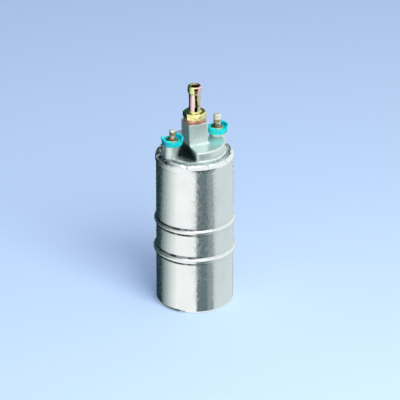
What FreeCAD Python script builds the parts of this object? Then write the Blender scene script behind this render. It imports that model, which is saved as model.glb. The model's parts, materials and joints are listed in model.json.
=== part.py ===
import FreeCAD, Part
import math
import os
from FreeCAD import Vector

# Electric fuel pump: a roller-cell pump and its motor, crimped into one round steel can.
# Millimetres. Origin at the centre of the can's foot, +Z up the can towards the outlet,
# -Y towards the side from which the outlet tower's square face is seen.

# Running and seating clearances
fixed_gap = 0.02
slip_gap = 0.1
running_gap = 0.06
axial_gap = 0.05

# Can: drawn steel tube with two rolled beads, a turned-in foot and a staked rim
can_radius = 26.0
can_wall = 1.5
can_height = 110.0
foot_corner_radius = 2.8
foot_lip_width = 5.5
lower_bead_height = 39.8
lower_bead_width = 4.7
lower_bead_swell = 1.9
upper_bead_height = 60.9
upper_bead_width = 3.8
upper_bead_swell = 1.4
bead_root_radius = 0.6
bead_hollow_inset = 0.6
bead_crown_thickening = 0.25
bead_chords = 6
corner_chords = 4
crimp_depth = 7.6
crimp_swell = 0.5
shoulder_depth = 3.6
rim_inset = 1.4
rim_edge = 1.4
rim_edge_drop = 0.2
rim_lip_thickness = 1.4
rim_boss_gap = 0.6
stake_count = 11
stake_first_angle = -101.5
stake_reach = 1.3
stake_width = 4.4
stake_tip_height = 0.5
stake_notch_width = 1.8
stake_notch_depth = 2.4

# Inlet cover with the suction bore and the relief valve
inlet_cover_height = 11.5
inlet_corner_gap = 0.3
inlet_bore_radius = 6.0
inlet_roof = 4.0
inlet_port_step = 1.5
inlet_collar_wall = 3.0
inlet_recess_inset = 2.5
inlet_recess_depth = 1.0
inlet_rib_count = 6
inlet_rib_width = 1.6
relief_angle = 205.0
relief_wall = 1.1
relief_floor_height = 3.1
relief_ball_radius = 2.4
relief_ball_play = 0.3
relief_hole_radius = 1.6
relief_drain_radius = 1.2
relief_wire = 0.5
relief_turns = 3

# Roller cell: eccentric ring, slotted rotor and rollers
ring_height = 10.2
ring_wall = 8.4
ring_offset = 1.2
ring_offset_angle = 270.0
rotor_tip_gap = 0.1
roller_count = 5
roller_radius = 2.9
roller_slot_gap = 0.05
port_width = 5.0
port_overlap = 0.8
port_span = 130.0
port_plate_height = 4.8
screw_count = 3
screw_turn = 30.0
screw_radius = 2.0
screw_depth = 6.0
screw_hole_spare = 0.5
screw_head_rim = 1.2
screw_head_height = 2.4
screw_head_inset = 0.3
screw_socket_across = 2.5
screw_socket_depth = 1.4

# Shaft, bearings and coupling
shaft_radius = 3.0
lower_bearing_wall = 2.5
upper_bearing_wall = 2.0
upper_bearing_height = 7.0
shaft_end_length = 1.0
coupling_wall = 2.5
coupling_height = 2.5
coupling_lift = 0.25
coupling_tongue_wall = 1.25
coupling_tongue_width = 4.0
coupling_turn = 18.0
coupling_play = 0.15
shaft_flat_depth = 0.6
thrust_washer_height = 1.0
thrust_washer_rim = 1.0

# Motor: two arc magnets, a slotted core with its windings and a flat commutator
magnet_thickness = 6.3
magnet_span = 146.0
magnet_below_core = 4.0
magnet_above_core = 6.0
clip_thickness = 0.6
clip_width = 5.0
clip_foot_length = 3.7
clip_inset = 0.3
air_gap = 0.5
core_slots = 8
core_slot_inset = 5.1
core_slot_radius = 2.8
core_slot_mouth = 2.0
coil_slot_gap = 0.2
coil_foot_gap = 5.4
coil_hub_gap = 1.0
coil_head_height = 6.6
coil_head_width = 3.0
coil_step = 3
commutator_inset = 4.2
commutator_track = 7.2
commutator_hub_height = 5.0
segment_height = 1.5
segment_split = 0.6
segment_overhang = 0.4
tang_length = 1.2
tang_width = 1.6
tang_drop = 2.4

# Brush gear
brush_inset = 1.0
brush_radial = 4.8
brush_width = 4.2
brush_length = 8.0
brush_wall = 1.0
brush_box_lift = 1.2
brush_spring_length = 6.1
brush_wire = 0.5
brush_turns = 4
spring_sections = 12
brush_plate_thickness = 3.0
brush_plate_lift = 2.5
brush_plate_rim = 1.8
bearing_floor = 1.0
bearing_hub_wall = 1.5
leg_count = 4
leg_width = 6.0
leg_thickness = 4.2
window_count = 6
window_radius = 2.6
window_inset = 6.2
strap_thickness = 0.7
strap_width = 5.0
strap_end_radius = 3.3

# Cast end cover: flange, outlet tower, plateau, web and two terminal bosses
cover_flange_height = 4.5
cover_skirt_depth = 7.0
cover_skirt_wall = 2.0
cover_edge_chamfer = 0.3
cover_seat_rise = 2.8
cover_seat_gap = 0.5
seal_groove_width = 2.0
seal_groove_depth = 1.3
tower_side = 13.7
tower_turn = 24.0
tower_rise = 23.5
tower_edge_radius = 0.7
plateau_rise = 8.5
plateau_inset = 4.2
plateau_edge_radius = 1.0
plateau_corner_radius = 2.0
tower_foot_radius = 2.4
boss_angle = 34.2
boss_inset = 0.9
boss_radius = 5.4
boss_draft = 0.2
boss_rise = 11.0
boss_depth = 4.0
boss_depth_inset = 1.0
valve_bore_radius = 2.6
valve_seat_rise = 5.5
valve_chamber_radius = 4.2
outlet_thread_radius = 5.0
outlet_thread_depth = 7.5
thread_run_out = 0.5

# Check valve in the tower
poppet_side_gap = 0.5
poppet_height = 1.8
poppet_stem_gap = 0.3
poppet_stem_length = 3.6
poppet_nose_radius = 1.7
poppet_nose_length = 2.0
check_wire = 0.5
check_turns = 4

# Terminals: threaded studs in plastic collars whose wall is open on two sides for the cable lugs
collar_height = 5.0
collar_foot_radius = 6.8
collar_top_radius = 7.6
collar_wall = 1.3
collar_well_depth = 2.2
collar_back_gap = (68.0, 162.0)
collar_front_gap = (266.0, 335.0)
collar_shank_wall = 0.9
stud_minus_radius = 2.0
stud_plus_radius = 2.5
stud_minus_rise = 5.4
stud_plus_rise = 7.8
stud_shoulder_radius = 4.2
stud_shoulder_height = 0.8
stud_foot_radius = 3.4
stud_foot_height = 1.1
stud_tip_chamfer = 0.4
insulating_washer_inset = 1.4
insulating_washer_height = 1.0

# Outlet fitting and its sealing washer
washer_radius = 7.5
washer_thickness = 2.5
hex_across = 14.0
hex_height = 4.5
hex_turn = -99.0
hex_chamfer = 30.0
fitting_foot_height = 0.5
fitting_bore_radius = 2.6
tube_radius = 3.9
tube_length = 12.7
tube_root_flare = 0.9
barb_radius = 4.7
barb_length = 6.0
barb_lead_in = 1.5
barb_tip_round = 0.7

# Radii worked out from the sizes above, from the can inwards
inner_radius = can_radius - can_wall
insert_radius = inner_radius - slip_gap
rim_radius = can_radius - rim_inset
rim_opening_radius = rim_radius - rim_edge
foot_opening_radius = can_radius - foot_lip_width
inlet_collar_radius = inlet_bore_radius + inlet_collar_wall
inlet_recess_radius = foot_opening_radius - inlet_recess_inset
relief_chamber_radius = relief_ball_radius + relief_ball_play
relief_offset = insert_radius - relief_wall - relief_chamber_radius
ring_bore_radius = insert_radius - ring_wall
rotor_radius = ring_bore_radius - ring_offset - rotor_tip_gap
roller_offset = rotor_radius - roller_radius - roller_slot_gap
port_outer_radius = rotor_radius + port_overlap
port_inner_radius = port_outer_radius - port_width
screw_head_radius = screw_radius + screw_head_rim
screw_offset = insert_radius - screw_head_inset - screw_head_radius
lower_bearing_radius = shaft_radius + lower_bearing_wall
upper_bearing_radius = shaft_radius + upper_bearing_wall
coupling_radius = shaft_radius + coupling_wall
coupling_tongue_reach = roller_offset - roller_radius - coupling_tongue_wall
magnet_inner_radius = insert_radius - magnet_thickness
core_radius = magnet_inner_radius - air_gap
core_slot_offset = core_radius - core_slot_inset
commutator_radius = core_radius - commutator_inset
commutator_inner_radius = commutator_radius - commutator_track
brush_offset = commutator_radius - brush_inset - brush_radial / 2
window_offset = insert_radius - window_inset
plateau_radius = insert_radius - plateau_inset
cover_seat_radius = rim_opening_radius - stake_reach - cover_seat_gap
boss_offset = insert_radius - boss_inset - boss_radius
collar_inner_radius = collar_top_radius - collar_wall
collar_shank_radius = stud_plus_radius + collar_shank_wall
insulating_washer_radius = boss_radius - insulating_washer_inset
poppet_radius = valve_chamber_radius - poppet_side_gap
poppet_stem_radius = valve_bore_radius - poppet_stem_gap

# Levels of the pump set, from the foot upwards
inlet_cover_bottom = can_wall
ring_bottom = inlet_cover_bottom + inlet_cover_height
inlet_bore_top = ring_bottom - inlet_roof
relief_floor = inlet_cover_bottom + relief_floor_height
ring_top = ring_bottom + ring_height
port_plate_top = ring_top + port_plate_height
rotor_bottom = ring_bottom + axial_gap
rotor_top = ring_top - axial_gap
coupling_bottom = ring_bottom + coupling_lift
coupling_top = coupling_bottom + coupling_height
core_bottom = port_plate_top + coil_foot_gap + coil_head_height

# Levels of the end cover and what stands on it, from the rim
flange_top = can_height - rim_lip_thickness - slip_gap
flange_bottom = flange_top - cover_flange_height
skirt_bottom = flange_bottom - cover_skirt_depth
cover_seat_top = flange_top + cover_seat_rise
tower_top = flange_top + tower_rise
plateau_top = flange_top + plateau_rise
boss_top = flange_top + boss_rise
boss_bottom = flange_bottom - boss_depth
valve_seat_level = flange_top + valve_seat_rise
fitting_bottom = tower_top - outlet_thread_depth
hex_bottom = tower_top + washer_thickness
hex_top = hex_bottom + hex_height
tube_top = hex_top + tube_length
fitting_top = tube_top + barb_length
collar_top = boss_top + collar_height
collar_floor = collar_top - collar_well_depth

# Levels of the brush gear and the motor, from the end cover downwards
strap_top = boss_bottom - insulating_washer_height - 2 * axial_gap
strap_bottom = strap_top - strap_thickness
brush_top = strap_bottom - brush_spring_length
brush_bottom = brush_top - brush_length
segment_top = brush_bottom - axial_gap
segment_bottom = segment_top - segment_height
commutator_bottom = segment_bottom - commutator_hub_height
core_top = commutator_bottom - coil_hub_gap - coil_head_height
magnet_bottom = core_bottom - magnet_below_core
magnet_top = core_top + magnet_above_core
brush_plate_bottom = segment_top + brush_plate_lift
brush_plate_top = brush_plate_bottom + brush_plate_thickness
upper_bearing_bottom = brush_plate_bottom + bearing_floor
upper_bearing_top = upper_bearing_bottom + upper_bearing_height
shaft_bottom = coupling_bottom
shaft_top = upper_bearing_top + shaft_end_length
magnet_first_angle = boss_angle + 90
screw_first_angle = boss_angle - screw_turn

up = Vector(0, 0, 1)


def polar(radius, angle, height=0.0):
    """Point at a radius and an angle in degrees about the pump's axis."""
    turn = math.radians(angle)
    return Vector(radius * math.cos(turn), radius * math.sin(turn), height)


def rod(radius, bottom, top, centre=Vector()):
    """Upright cylinder between two levels."""
    return Part.makeCylinder(radius, top - bottom, Vector(centre.x, centre.y, bottom), up)


def tube(outer, inner, bottom, top, centre=Vector()):
    """Upright round sleeve between two levels."""
    return rod(outer, bottom, top, centre).cut(rod(inner, bottom - 1, top + 1, centre))


def taper(lower, upper, bottom, top, centre=Vector()):
    """Upright cone between two levels."""
    return Part.makeCone(lower, upper, top - bottom, Vector(centre.x, centre.y, bottom), up)


def turned(start, *steps):
    """Solid of revolution: a step of two numbers is a line to (r, z), of four an arc via a point."""
    edges = []
    here = Vector(start[0], 0, start[1])
    for step in steps + (start,):
        there = Vector(step[-2], 0, step[-1])
        if len(step) == 2:
            edges.append(Part.LineSegment(here, there).toShape())
        else:
            edges.append(Part.Arc(here, Vector(step[0], 0, step[1]), there).toShape())
        here = there
    return Part.Face(Part.Wire(edges)).revolve(Vector(), up, 360)


def spun(shape, angle):
    """Copy of a shape turned about the pump's axis."""
    copy = shape.copy()
    copy.rotate(Vector(), up, angle)
    return copy


def shifted(shape, offset):
    """Copy of a shape moved by a vector."""
    copy = shape.copy()
    copy.translate(offset)
    return copy


def bar(near, far, width, bottom, top, angle=0.0):
    """Upright-sided bar between two radii, centred on a direction."""
    block = Part.makeBox(far - near, width, top - bottom, Vector(near, -width / 2, bottom))
    return spun(block, angle)


def wedge(reach, first, last, bottom, top):
    """Pie slice between two angles less than a half turn apart, for cutting sectors."""
    middle = (first + last) / 2
    points = [Vector(0, 0, bottom)]
    for angle in (first, middle, last):
        points.append(polar(reach, angle, bottom))
    points.append(points[0])
    return Part.Face(Part.makePolygon(points)).extrude(Vector(0, 0, top - bottom))


def kidney(inner, outer, middle, span, bottom, top):
    """Curved port between two radii."""
    slice_of_ring = wedge(outer * 3, middle - span / 2, middle + span / 2, bottom, top)
    return tube(outer, inner, bottom, top).common(slice_of_ring)


def one_solid(shape):
    """The single solid of a shape, with its split faces joined."""
    return shape.removeSplitter().Solids[0]


def coil_spring(mean_radius, wire, turns, bottom, top, centre=Vector()):
    """Helical spring of square wire standing between two levels."""
    half = wire / 2
    climb = top - bottom - wire
    steps = turns * spring_sections
    sections = []
    for step in range(steps + 1):
        angle = 360 * step / spring_sections
        level = bottom + half + climb * step / steps
        corners = [polar(mean_radius + side, angle, level + rise) + centre
                   for side, rise in ((-half, -half), (half, -half), (half, half), (-half, half))]
        sections.append(Part.makePolygon(corners + corners[:1]))
    return Part.makeLoft(sections, True, True)


def chords(centre_r, centre_z, radius, first, last, count):
    """Points along an arc, angles in degrees from straight outwards, both ends included."""
    points = []
    for step in range(count + 1):
        angle = math.radians(first + (last - first) * step / count)
        points.append((centre_r + radius * math.cos(angle), centre_z + radius * math.sin(angle)))
    return points


def bead_steps(wall_radius, level, width, swell):
    """Outer outline of a rolled bead: its round crown between two short roots."""
    half = width / 2
    crown = (swell ** 2 + half ** 2) / (2 * swell) - bead_root_radius
    crown_centre = wall_radius + swell - crown
    root_centre = wall_radius + bead_root_radius
    lean = math.degrees(math.atan2(half, root_centre - crown_centre))
    crown_points = chords(crown_centre, level, crown, -lean, lean, bead_chords)
    return [(wall_radius, level - half)] + crown_points + [(wall_radius, level + half)]


def bead_hollow_steps(wall_radius, level, width, swell):
    """Inner outline of a rolled bead, from its top to its bottom."""
    half = width / 2 - bead_hollow_inset
    depth = wall_radius + swell - bead_crown_thickening
    return [(wall_radius, level + half), (depth, level + half / 3), (depth, level - half / 3),
            (wall_radius, level - half)]


def boss_centre(side):
    """Centre of a terminal boss: side 1 is the plus terminal, side -1 the minus terminal."""
    return polar(side * boss_offset, boss_angle)


def housing_can():
    swell_radius = can_radius + crimp_swell
    shoulder_start = can_height - shoulder_depth
    inward = swell_radius - rim_radius
    bend = (inward ** 2 + shoulder_depth ** 2) / (2 * inward)
    bend_angle = math.degrees(math.asin(shoulder_depth / bend))
    inner_corner = foot_corner_radius - can_wall
    corner_centre = can_radius - foot_corner_radius
    steps = chords(corner_centre, foot_corner_radius, foot_corner_radius, -90, 0, corner_chords)
    steps += bead_steps(can_radius, lower_bead_height, lower_bead_width, lower_bead_swell)
    steps += bead_steps(can_radius, upper_bead_height, upper_bead_width, upper_bead_swell)
    steps.append((can_radius, can_height - crimp_depth))
    steps.append((swell_radius, can_height - (crimp_depth + 2 * shoulder_depth) / 3))
    steps += chords(swell_radius - bend, shoulder_start, bend, 0, bend_angle, corner_chords)
    steps.append((rim_radius - rim_edge_drop, can_height))
    steps.append((rim_opening_radius, can_height - rim_edge_drop))
    steps.append((rim_opening_radius, flange_top + slip_gap))
    steps.append((inner_radius, flange_top + slip_gap))
    steps += bead_hollow_steps(inner_radius, upper_bead_height, upper_bead_width, upper_bead_swell)
    steps += bead_hollow_steps(inner_radius, lower_bead_height, lower_bead_width, lower_bead_swell)
    steps.append((inner_radius, foot_corner_radius))
    steps.append((inner_radius - inner_corner, can_wall))
    steps.append((foot_opening_radius, can_wall))
    can = turned((foot_opening_radius, 0.0), *steps)
    return stake_rim(can)


def stake_rim(can):
    """Chisel marks in the rim, each pushing a tongue of metal in over the cover's flange."""
    tip = rim_opening_radius - stake_reach
    root = rim_opening_radius + rim_edge_drop
    lip_bottom = flange_top + slip_gap
    tongue_points = [
        Vector(root, -stake_width / 2, lip_bottom),
        Vector(tip, -stake_width / 2, lip_bottom),
        Vector(tip, -stake_width / 2, lip_bottom + stake_tip_height),
        Vector(root, -stake_width / 2, can_height - 1.5 * rim_edge_drop),
    ]
    tongue_side = Part.Face(Part.makePolygon(tongue_points + tongue_points[:1]))
    tongue = tongue_side.extrude(Vector(0, stake_width, 0))
    notch_root = rim_radius + 2 * rim_edge_drop
    apex = can_height - stake_notch_depth
    notch_points = [
        Vector(notch_root, 0, apex),
        Vector(notch_root, stake_notch_width / 2, can_height),
        Vector(notch_root, -stake_notch_width / 2, can_height),
    ]
    outwards = Vector(can_radius + crimp_swell + 1 - notch_root, 0, 0)
    notch = Part.Face(Part.makePolygon(notch_points + notch_points[:1])).extrude(outwards)
    for index in range(stake_count):
        angle = stake_first_angle + index * 360 / stake_count
        can = can.cut(spun(notch, angle))
        if stake_is_free(tip, angle):
            can = can.fuse(spun(tongue, angle))
    clear_radius = boss_radius + boss_draft + rim_boss_gap
    for side in (1, -1):
        can = can.cut(rod(clear_radius, flange_top, can_height + 1, boss_centre(side)))
    return one_solid(can)


def stake_is_free(tip, angle):
    """A boss that stands against the rim leaves no room for a tongue."""
    nearest = min((polar(tip, angle) - boss_centre(side)).Length for side in (1, -1))
    return nearest > boss_radius + stake_width / 2


def inlet_cover():
    corner = foot_corner_radius - can_wall + inlet_corner_gap
    cover = turned((0.0, inlet_cover_bottom), (insert_radius - corner, inlet_cover_bottom),
                   (insert_radius, inlet_cover_bottom + corner), (insert_radius, ring_bottom),
                   (0.0, ring_bottom))
    recess = tube(inlet_recess_radius, inlet_collar_radius, inlet_cover_bottom - 1,
                  inlet_cover_bottom + inlet_recess_depth)
    for index in range(inlet_rib_count):
        rib = bar(inlet_collar_radius - 1, inlet_recess_radius + 1, inlet_rib_width,
                  inlet_cover_bottom, ring_bottom, index * 360 / inlet_rib_count)
        recess = recess.cut(rib)
    port_floor = inlet_bore_top - inlet_port_step
    cover = cover.cut(recess)
    cover = cover.cut(rod(inlet_bore_radius, inlet_cover_bottom - 1, inlet_bore_top))
    cover = cover.cut(kidney(port_inner_radius, port_outer_radius, ring_offset_angle + 90, port_span,
                             port_floor, ring_bottom + 1))
    feed = bar(0, port_inner_radius + 1, inlet_bore_radius, port_floor, inlet_bore_top,
               ring_offset_angle + 90)
    cover = cover.cut(feed)
    seat = polar(relief_offset, relief_angle)
    cover = cover.cut(rod(relief_chamber_radius, relief_floor, ring_bottom + 1, seat))
    drain_start = Vector(0, 0, relief_floor + relief_drain_radius)
    drain = Part.makeCylinder(relief_drain_radius, relief_offset, drain_start, polar(1, relief_angle))
    cover = cover.cut(drain)
    screw_hole_floor = ring_bottom - screw_depth - screw_hole_spare
    for centre in screw_centres():
        cover = cover.cut(rod(screw_radius + fixed_gap, screw_hole_floor, ring_bottom + 1, centre))
    return cover.Solids[0]


def screw_centres():
    angles = [screw_first_angle + index * 360 / screw_count for index in range(screw_count)]
    return [polar(screw_offset, angle) for angle in angles]


def pump_ring():
    ring = rod(insert_radius, ring_bottom, ring_top)
    bore_centre = polar(ring_offset, ring_offset_angle)
    relief_centre = polar(relief_offset, relief_angle)
    ring = ring.cut(rod(ring_bore_radius, ring_bottom - 1, ring_top + 1, bore_centre))
    ring = ring.cut(rod(relief_hole_radius, ring_bottom - 1, ring_top + 1, relief_centre))
    for centre in screw_centres():
        ring = ring.cut(rod(screw_radius + slip_gap, ring_bottom - 1, ring_top + 1, centre))
    return one_solid(ring)


def roller_angles():
    return [90 + index * 360 / roller_count for index in range(roller_count)]


def pump_rotor():
    rotor = rod(rotor_radius, rotor_bottom, rotor_top)
    slot_half = roller_radius + roller_slot_gap
    for angle in roller_angles():
        slot = bar(roller_offset, rotor_radius + 1, 2 * slot_half, rotor_bottom - 1, rotor_top + 1, angle)
        slot = slot.fuse(rod(slot_half, rotor_bottom - 1, rotor_top + 1, polar(roller_offset, angle)))
        rotor = rotor.cut(slot)
    rotor = rotor.cut(rod(shaft_radius + running_gap, rotor_bottom - 1, rotor_top + 1))
    rotor = rotor.cut(coupling_form(coupling_play, rotor_bottom - 1, coupling_top + coupling_play))
    return one_solid(rotor)


def coupling_form(play, bottom, top):
    """Round driver with two tongues, grown all round by some play."""
    hub = rod(coupling_radius + play, bottom, top)
    reach = coupling_tongue_reach + play
    return hub.fuse(bar(-reach, reach, coupling_tongue_width + 2 * play, bottom, top, coupling_turn))


def drive_coupling():
    driver = coupling_form(0, coupling_bottom, coupling_top)
    return one_solid(driver.cut(shaft_form(shaft_radius + fixed_gap)))


def shaft_form(radius):
    """Shaft with the flat that drives the coupling."""
    shaft = rod(radius, shaft_bottom, shaft_top)
    flat_at = radius - shaft_flat_depth
    flat = Part.makeBox(radius, 2 * radius, coupling_height, Vector(flat_at, -radius, shaft_bottom))
    return shaft.cut(flat)


def roller(angle):
    return rod(roller_radius, rotor_bottom, rotor_top, polar(roller_offset, angle))


def port_plate():
    plate = rod(insert_radius, ring_top, port_plate_top)
    plate = plate.cut(rod(lower_bearing_radius + fixed_gap, ring_top - 1, port_plate_top + 1))
    plate = plate.cut(kidney(port_inner_radius, port_outer_radius, ring_offset_angle - 90, port_span,
                             ring_top - 1, port_plate_top + 1))
    relief_centre = polar(relief_offset, relief_angle)
    plate = plate.cut(rod(relief_hole_radius, ring_top - 1, port_plate_top + 1, relief_centre))
    for centre in screw_centres():
        plate = plate.cut(rod(screw_radius + slip_gap, ring_top - 1, port_plate_top + 1, centre))
    return one_solid(plate)


def pump_screws():
    screws = []
    head_top = port_plate_top + screw_head_height
    for centre in screw_centres():
        screw = rod(screw_radius, ring_bottom - screw_depth, head_top - screw_socket_depth, centre)
        screw = screw.fuse(rod(screw_head_radius, port_plate_top, head_top, centre))
        socket = hexagon(screw_socket_across, head_top - screw_socket_depth, head_top + 1)
        screws.append(one_solid(screw.cut(shifted(socket, centre))))
    return Part.makeCompound(screws)


def hexagon(across, bottom, top, turn=0.0):
    """Upright hexagonal prism with a flat facing a direction."""
    corner = across / math.sqrt(3)
    points = [polar(corner, turn + 30 + 60 * index, bottom) for index in range(6)]
    return Part.Face(Part.makePolygon(points + points[:1])).extrude(Vector(0, 0, top - bottom))


def lower_bearing():
    return tube(lower_bearing_radius, shaft_radius + running_gap, ring_top + axial_gap, port_plate_top)


def thrust_washer():
    bottom = port_plate_top + axial_gap
    washer_top = bottom + thrust_washer_height
    return tube(lower_bearing_radius + thrust_washer_rim, shaft_radius + fixed_gap, bottom, washer_top)


def relief_ball():
    centre = polar(relief_offset, relief_angle, relief_ball_level())
    return Part.makeSphere(relief_ball_radius, centre)


def relief_ball_level():
    """Height of the ball's centre where it closes the hole in the ring."""
    return ring_bottom - math.sqrt(relief_ball_radius ** 2 - relief_hole_radius ** 2) - axial_gap


def relief_spring():
    top = relief_ball_level() - relief_ball_radius - axial_gap
    return coil_spring(relief_chamber_radius - relief_wire - slip_gap, relief_wire, relief_turns,
                       relief_floor + axial_gap, top, polar(relief_offset, relief_angle))


def magnet(middle):
    arc = kidney(magnet_inner_radius, insert_radius, middle, magnet_span, magnet_bottom, magnet_top)
    return one_solid(arc)


def magnet_clips():
    """Springy strips between the magnets' edges, standing on the port plate."""
    clips = []
    outer = insert_radius - clip_inset
    bottom = port_plate_top + axial_gap
    for side in (0, 180):
        angle = magnet_first_angle + 90 + side
        back = bar(outer - clip_thickness, outer, clip_width, bottom, magnet_top, angle)
        foot = bar(outer - clip_foot_length, outer, clip_width, bottom, bottom + clip_thickness, angle)
        clips.append(one_solid(back.fuse(foot)))
    return Part.makeCompound(clips)


def armature_shaft():
    return one_solid(shaft_form(shaft_radius))


def core_slot_angles():
    return [(index + 0.5) * 360 / core_slots for index in range(core_slots)]


def armature_core():
    core = tube(core_radius, shaft_radius + fixed_gap, core_bottom, core_top)
    for angle in core_slot_angles():
        slot = rod(core_slot_radius, core_bottom - 1, core_top + 1, polar(core_slot_offset, angle))
        mouth = bar(core_slot_offset, core_radius + 1, core_slot_mouth, core_bottom - 1, core_top + 1,
                    angle)
        core = core.cut(slot.fuse(mouth))
    return one_solid(core)


def armature_windings():
    """Slot fillings joined at both ends by straight coil heads that pass the shaft."""
    low = core_bottom - fixed_gap
    high = core_top + fixed_gap
    slot_angles = core_slot_angles()
    fillings = [rod(core_slot_radius - coil_slot_gap, low - 1, high + 1, polar(core_slot_offset, angle))
                for angle in slot_angles]
    wire = fillings[0].fuse(fillings[1:])
    for index, angle in enumerate(slot_angles):
        partner = slot_angles[(index + coil_step) % core_slots]
        start = polar(core_slot_offset, angle)
        span = polar(core_slot_offset, partner) - start
        direction = math.degrees(math.atan2(span.y, span.x))
        for bottom in (low - coil_head_height, high):
            head = bar(-1, span.Length + 1, coil_head_width, bottom, bottom + coil_head_height, direction)
            wire = wire.fuse(shifted(head, start))
    return one_solid(wire.cut(rod(shaft_radius + fixed_gap, 0, can_height)))


def commutator_hub():
    rim = commutator_radius - segment_overhang
    return tube(rim, shaft_radius + fixed_gap, commutator_bottom, segment_bottom - fixed_gap)


def commutator_segments():
    plate = tube(commutator_radius, commutator_inner_radius, segment_bottom, segment_top)
    for index in range(core_slots):
        plate = plate.cut(bar(0, commutator_radius + 1, segment_split, segment_bottom - 1, segment_top + 1,
                              index * 360 / core_slots))
    segments = []
    for index, sector in enumerate(plate.Solids):
        centre = sector.CenterOfMass
        angle = math.degrees(math.atan2(centre.y, centre.x))
        tang = bar(commutator_radius - segment_overhang, commutator_radius + tang_length, tang_width,
                   segment_top - tang_drop, segment_top - segment_overhang, angle)
        tang = tang.cut(rod(commutator_radius, segment_top - tang_drop - 1, segment_bottom))
        segments.append(one_solid(sector.fuse(tang)))
    return Part.makeCompound(segments)


def brush_form(side, play, bottom, top):
    """Upright block of the brush's section, grown by some play."""
    half = brush_radial / 2 + play
    return bar(brush_offset - half, brush_offset + half, brush_width + 2 * play, bottom, top,
               boss_angle + (0 if side > 0 else 180))


def brush(side):
    return brush_form(side, 0, brush_bottom, brush_top)


def brush_spring(side):
    return coil_spring(brush_width / 2 - brush_wire, brush_wire, brush_turns, brush_top + axial_gap,
                       strap_bottom - axial_gap, polar(side * brush_offset, boss_angle))


def brush_plate():
    box_bottom = segment_top + brush_box_lift
    plate = rod(insert_radius, brush_plate_bottom, brush_plate_top)
    plate = plate.fuse(tube(insert_radius, insert_radius - brush_plate_rim, brush_plate_bottom,
                            skirt_bottom - axial_gap))
    plate = plate.fuse(rod(upper_bearing_radius + bearing_hub_wall, brush_plate_bottom, upper_bearing_top))
    for side in (1, -1):
        plate = plate.fuse(brush_form(side, brush_wall, box_bottom, strap_bottom - axial_gap))
    for index in range(leg_count):
        leg = bar(insert_radius - leg_thickness, insert_radius, leg_width, magnet_top + axial_gap,
                  brush_plate_top, magnet_first_angle + (index + 0.5) * 360 / leg_count)
        plate = plate.fuse(leg.common(rod(insert_radius - fixed_gap, 0, can_height)))
    plate = plate.cut(rod(upper_bearing_radius + fixed_gap, upper_bearing_bottom, upper_bearing_top + 1))
    plate = plate.cut(rod(shaft_radius + bearing_floor, brush_plate_bottom - 1, upper_bearing_bottom + 1))
    for side in (1, -1):
        plate = plate.cut(brush_form(side, slip_gap, box_bottom - 1, strap_bottom + 1))
    for index in range(window_count):
        centre = polar(window_offset, boss_angle + (index + 0.5) * 360 / window_count)
        plate = plate.cut(rod(window_radius, brush_plate_bottom - 1, brush_plate_top + 1, centre))
    return one_solid(plate)


def upper_bearing():
    return tube(upper_bearing_radius, shaft_radius + running_gap, upper_bearing_bottom + fixed_gap,
                upper_bearing_top)


def contact_strap(side, stud_radius):
    near = brush_offset - brush_radial / 2 - brush_wall
    direction = boss_angle + (0 if side > 0 else 180)
    strip = bar(near, boss_offset, strap_width, strap_bottom, strap_top, direction)
    centre = boss_centre(side)
    strip = strip.fuse(rod(strap_end_radius, strap_bottom, strap_top, centre))
    return one_solid(strip.cut(rod(stud_radius + fixed_gap, strap_bottom - 1, strap_top + 1, centre)))


def insulating_washers():
    washers = []
    for side, stud_radius in ((-1, stud_minus_radius), (1, stud_plus_radius)):
        washers.append(tube(insulating_washer_radius, stud_radius + fixed_gap, strap_top + axial_gap,
                            strap_top + axial_gap + insulating_washer_height, boss_centre(side)))
    return Part.makeCompound(washers)


def tower_block(bottom, top):
    """Square outlet tower with softened upright edges."""
    half = tower_side / 2
    block = Part.makeBox(tower_side, tower_side, top - bottom, Vector(-half, -half, bottom))
    upright = [edge for edge in block.Edges if is_upright(edge)]
    return spun(block.makeFillet(tower_edge_radius, upright), tower_turn)


def plateau_outline(height):
    """Prism on the raised quadrant from the tower's left face round to the plus terminal."""
    half = tower_side / 2
    far = 3 * plateau_radius
    end = boss_angle - tower_turn
    points = [
        Vector(-half, 0, flange_bottom),
        Vector(-half, -far, flange_bottom),
        Vector(far, -far, flange_bottom),
        polar(far, end, flange_bottom),
        Vector(0, 0, flange_bottom),
    ]
    quadrant = Part.Face(Part.makePolygon(points + points[:1])).extrude(Vector(0, 0, height))
    return spun(quadrant, tower_turn)


def web_outline(height):
    """Prism on the web that runs from the tower to the rim on the far side."""
    return bar(0, 2 * plateau_radius, tower_side, flange_bottom, flange_bottom + height, tower_turn + 90)


def rounded_platform(outline):
    """Raised part of the casting inside the plateau's radius, its outer corners and top edges rounded."""
    block = outline.common(rod(plateau_radius, flange_bottom, plateau_top))
    corners = [edge for edge in block.Edges if is_upright(edge) and is_at_plateau_radius(edge)]
    block = block.makeFillet(plateau_corner_radius, corners)
    rims = [edge for edge in block.Edges if lies_at(edge, plateau_top) and not touches_axis(edge)]
    return block.makeFillet(plateau_edge_radius, rims)


def is_upright(edge):
    return abs(edge.tangentAt(edge.FirstParameter).z) > 0.9


def is_at_plateau_radius(edge):
    point = edge.Vertexes[0].Point
    return abs(math.hypot(point.x, point.y) - plateau_radius) < fixed_gap


def lies_at(edge, level):
    return max(abs(edge.BoundBox.ZMin - level), abs(edge.BoundBox.ZMax - level)) < fixed_gap


def touches_axis(edge):
    return min(math.hypot(vertex.X, vertex.Y) for vertex in edge.Vertexes) < fixed_gap


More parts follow.
